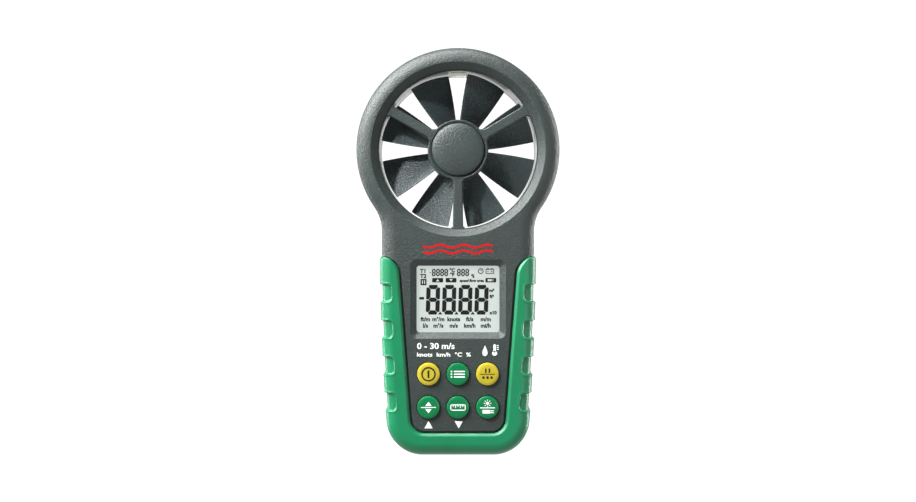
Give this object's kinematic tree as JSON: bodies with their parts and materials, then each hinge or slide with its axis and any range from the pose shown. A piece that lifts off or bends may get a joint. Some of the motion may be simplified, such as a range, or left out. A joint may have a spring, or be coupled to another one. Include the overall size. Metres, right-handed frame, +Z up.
{
  "type": "handheld vane anemometer",
  "caption": "Handheld air-flow meter with a ducted vane fan, a display, sprung keys, a rubber boot and a removable battery door.",
  "frame": {"origin": "centre of the underside of the boot's base, under the middle of the bounding box", "axes": "+Z up along the grip towards the fan head, front face with the display towards -Y, reader's right is +X"},
  "size_m": [0.085, 0.038, 0.17],
  "materials": {
    "case_plastic": "dark grey-green moulded plastic with a fine spark texture",
    "boot_rubber": "green soft-touch rubber, satin",
    "blade_plastic": "near-black plastic, slightly glossy",
    "liner_plastic": "pale smooth plastic",
    "sensor_plastic": "cream plastic",
    "key_green": "green plastic, glossy",
    "key_yellow": "yellow plastic, glossy",
    "window_clear": "clear acrylic",
    "lcd_glass": "pale grey-green display glass",
    "white_plastic": "white plastic",
    "steel": "bright steel",
    "bronze": "sintered bronze",
    "board": "green solder mask",
    "black_plastic": "black plastic",
    "silicone": "translucent grey silicone",
    "magnet": "dark ferrite",
    "battery_can": "printed metal can",
    "wire_red": "red insulation",
    "wire_black": "black insulation"
  },
  "bodies": {
    "meter": {"front_case": "case_plastic", "rear_case": "case_plastic", "front_spider": "case_plastic", "rear_spider": "case_plastic", "hub_cap": "case_plastic", "rubber_boot": "boot_rubber", "duct_liner": "liner_plastic", "front_bearing": "bronze", "rear_bearing": "bronze", "sensor_board": "board", "speed_sensor": "black_plastic", "sensor_lead": "wire_black", "humidity_sensor": "sensor_plastic", "lcd_window": "window_clear", "lcd_holder": "white_plastic", "lcd_panel": "lcd_glass", "backlight_panel": "white_plastic", "zebra_strip": "silicone", "main_board": "board", "keypad_mat": "silicone", "main_chip": "black_plastic", "buzzer": "black_plastic", "usb_socket": "steel", "battery_9v": "battery_can", "battery_snap": "black_plastic", "battery_lead_red": "wire_red", "battery_lead_black": "wire_black", "case_screw_1": "steel", "case_screw_2": "steel", "case_screw_3": "steel", "case_screw_4": "steel", "case_screw_5": "steel", "case_screw_6": "steel", "board_screw_1": "steel", "board_screw_2": "steel", "board_screw_3": "steel", "board_screw_4": "steel"},
    "fan": {"rotor": "blade_plastic", "rotor_shaft": "steel", "rotor_magnet": "magnet"},
    "door": {"battery_door": "case_plastic"},
    "power_key": {"power_button": "key_yellow"},
    "function_key": {"function_button": "key_green"},
    "hold_key": {"hold_button": "key_yellow"},
    "max_min_key": {"max_min_button": "key_green"},
    "unit_key": {"unit_button": "key_green"},
    "backlight_key": {"backlight_button": "key_green"}
  },
  "joints": [
    {"name": "rotor_spin", "type": "hinge", "parent": "meter", "child": "fan", "pos_m": [0, -0.0035, 0.1275], "axis": [0, -1, 0], "continuous": true},
    {"name": "door_lift", "type": "slide", "parent": "meter", "child": "door", "axis": [0, 1, 0], "range_m": [0, 0.03]},
    {"name": "power_press", "type": "slide", "parent": "meter", "child": "power_key", "axis": [0, 1, 0], "range_m": [0, 0.0008], "stiffness_N_per_m": 600, "springref_m": -0.0008},
    {"name": "function_press", "type": "slide", "parent": "meter", "child": "function_key", "axis": [0, 1, 0], "range_m": [0, 0.0008], "stiffness_N_per_m": 600, "springref_m": -0.0008},
    {"name": "hold_press", "type": "slide", "parent": "meter", "child": "hold_key", "axis": [0, 1, 0], "range_m": [0, 0.0008], "stiffness_N_per_m": 600, "springref_m": -0.0008},
    {"name": "max_min_press", "type": "slide", "parent": "meter", "child": "max_min_key", "axis": [0, 1, 0], "range_m": [0, 0.0008], "stiffness_N_per_m": 600, "springref_m": -0.0008},
    {"name": "unit_press", "type": "slide", "parent": "meter", "child": "unit_key", "axis": [0, 1, 0], "range_m": [0, 0.0008], "stiffness_N_per_m": 600, "springref_m": -0.0008},
    {"name": "backlight_press", "type": "slide", "parent": "meter", "child": "backlight_key", "axis": [0, 1, 0], "range_m": [0, 0.0008], "stiffness_N_per_m": 600, "springref_m": -0.0008}
  ]
}
